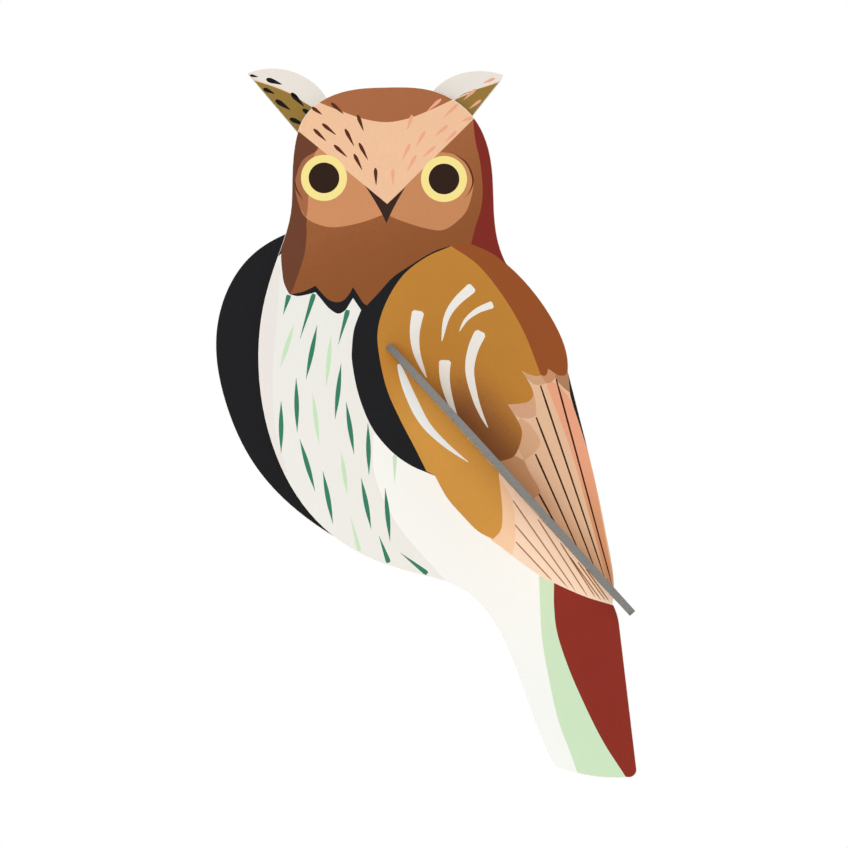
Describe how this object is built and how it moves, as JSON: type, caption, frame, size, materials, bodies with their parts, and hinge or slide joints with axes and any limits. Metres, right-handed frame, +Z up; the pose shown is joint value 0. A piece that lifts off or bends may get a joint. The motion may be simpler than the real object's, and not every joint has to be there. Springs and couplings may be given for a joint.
{
  "type": "card owl puppet",
  "caption": "Flat die-cut card owl with printed plates, ear tufts behind the head, a swinging far wing and a folding near-wing blade that stands square to the body.",
  "frame": {"origin": "middle of the hanging eyelet behind the head", "axes": "+X to the viewer's right, +Y from the viewer to the wall, +Z up"},
  "size_m": [0.118, 0.0473, 0.1989],
  "materials": {
    "greyboard": "matte",
    "figure_print": "satin",
    "ear_print": "satin",
    "black_print": "satin",
    "blade_print": "satin",
    "back_print": "matte",
    "kraft_card": "matte",
    "white_foam": "matte",
    "rivet_plastic": "matte",
    "eyelet_brass": "polished"
  },
  "bodies": {
    "figure": {"figure_board": "greyboard", "figure_front_sheet": "figure_print", "figure_back_sheet": "back_print", "ear_board": "greyboard", "ear_front_sheet": "ear_print", "ear_back_sheet": "back_print", "ear_foam_pads": "white_foam", "blade_tabs": "greyboard", "blade_hinge_paper": "blade_print", "lock_key_upper": "greyboard", "lock_key_middle": "greyboard", "lock_key_lower": "greyboard", "wing_pivot_stud": "rivet_plastic", "wing_pivot_cap": "rivet_plastic", "hanger_strap": "kraft_card", "hanger_eyelet": "eyelet_brass", "wall_pads": "white_foam"},
    "far_wing": {"far_wing_board": "greyboard", "far_wing_front_sheet": "black_print", "far_wing_back_sheet": "back_print"},
    "wing_blade": {"blade_board": "greyboard", "blade_left_sheet": "blade_print", "blade_right_sheet": "blade_print"}
  },
  "joints": [
    {"name": "blade_fold", "type": "hinge", "parent": "figure", "child": "wing_blade", "pos_m": [-0.00956, -0.0089, -0.06673], "axis": [-0.673, 0, 0.7396], "range_deg": [0, 85]},
    {"name": "far_wing_swing", "type": "hinge", "parent": "figure", "child": "far_wing", "pos_m": [-0.035, -0.0045, -0.044], "axis": [0, 1, 0], "range_deg": [-8, 30]}
  ]
}
